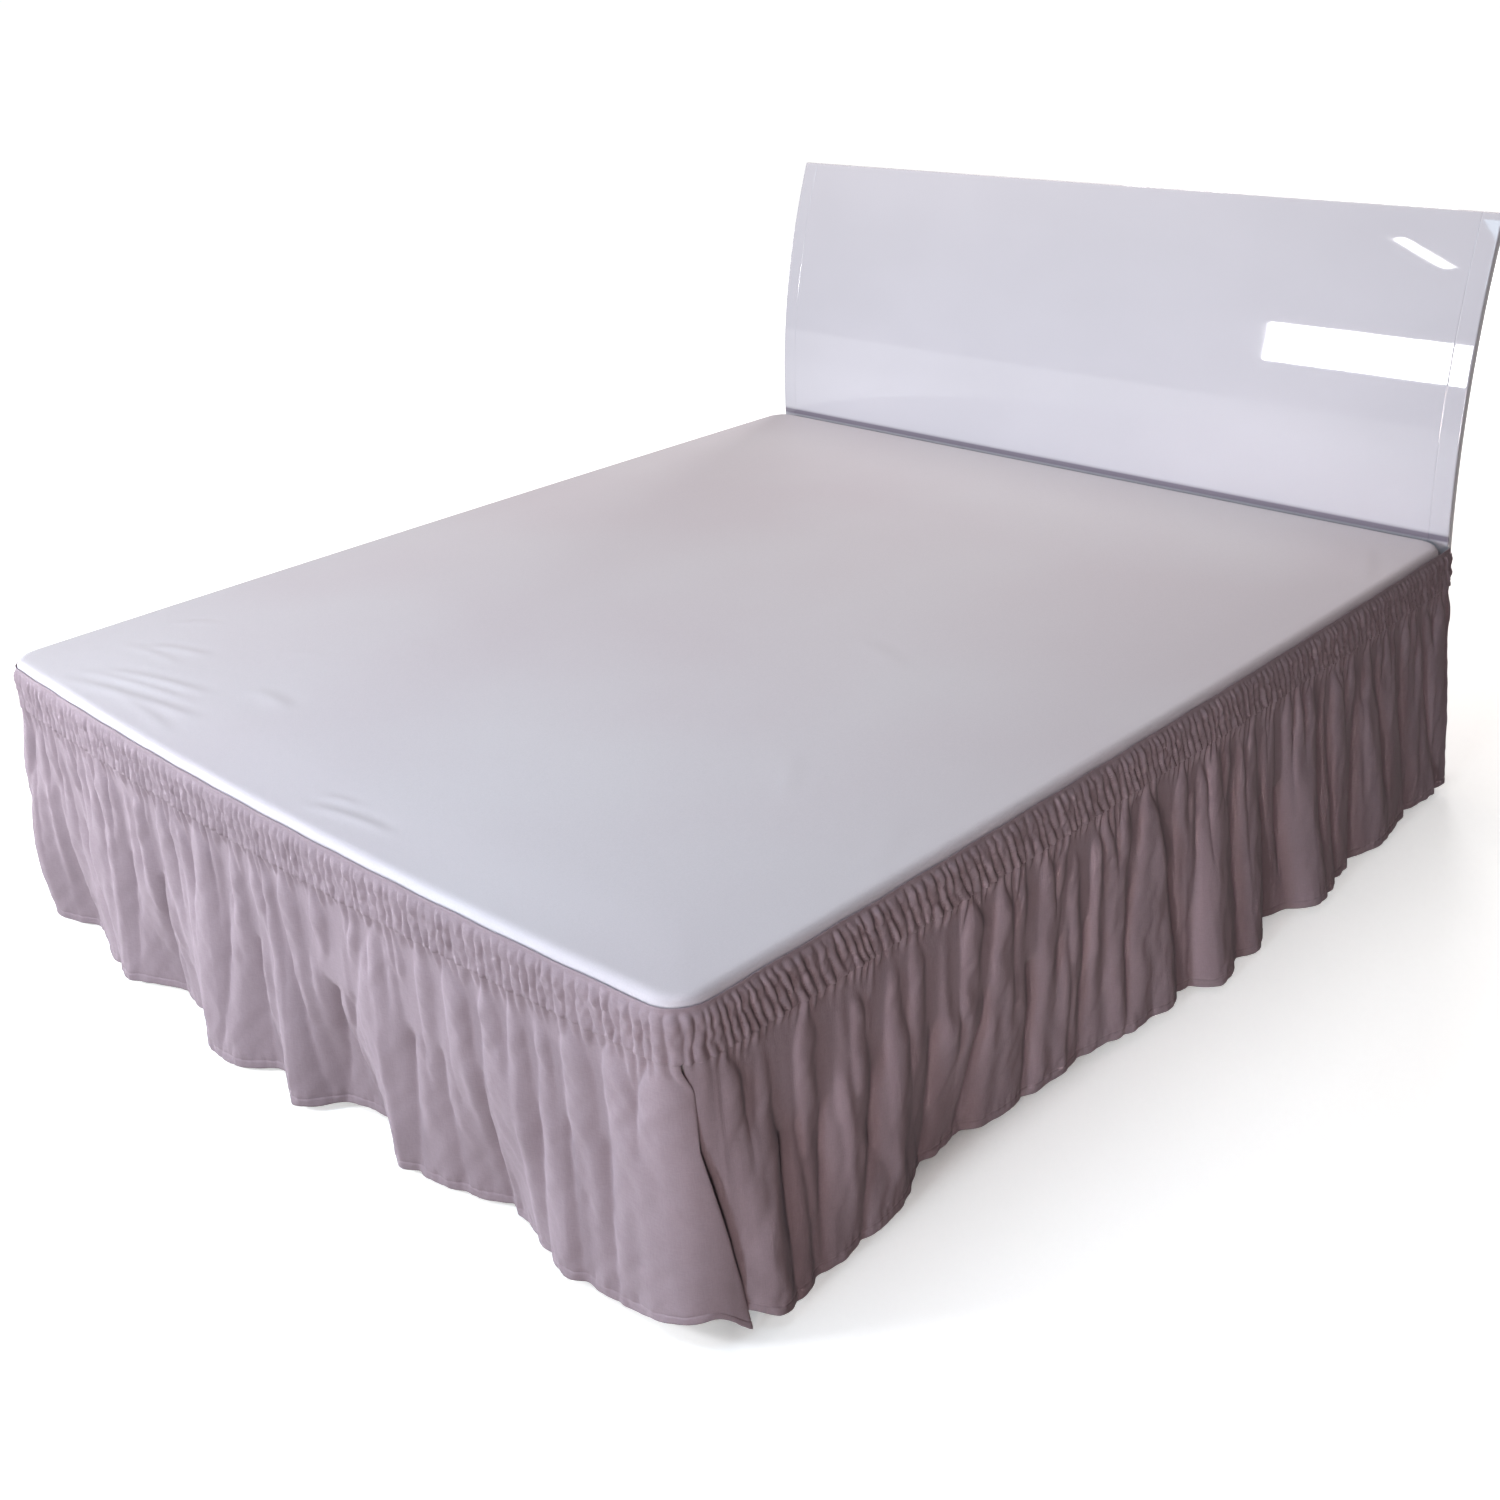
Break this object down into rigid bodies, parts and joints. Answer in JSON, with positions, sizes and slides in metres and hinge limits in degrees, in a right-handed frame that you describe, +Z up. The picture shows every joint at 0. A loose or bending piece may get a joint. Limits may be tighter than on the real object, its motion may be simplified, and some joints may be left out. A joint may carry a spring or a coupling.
{
  "type": "bed skirt on a bed with mattress and headboard",
  "caption": "Gathered wrap-around bed skirt with a shirred elastic heading, fitted round the sides and foot of a mattress on a plain bed.",
  "frame": {"origin": "on the floor, under the middle of the whole object's bounding box", "axes": "+X toward the right side of the bed seen from its foot, +Y toward the headboard, +Z up"},
  "size_m": [1.9377, 2.23, 1.1245],
  "materials": {
    "heading": "matte shirred cloth",
    "drop_foot": "matte woven cloth",
    "drop_left": "matte woven cloth",
    "drop_right": "matte woven cloth",
    "mattress": "smooth, slightly satin ticking",
    "bed_base": "plain, hidden",
    "headboard": "high-gloss pale lacquer"
  },
  "bodies": {
    "root": {"heading": "heading", "drop_foot": "drop_foot", "drop_left": "drop_left", "drop_right": "drop_right", "mattress": "mattress", "bed_base": "bed_base", "headboard": "headboard"}
  },
  "joints": []
}
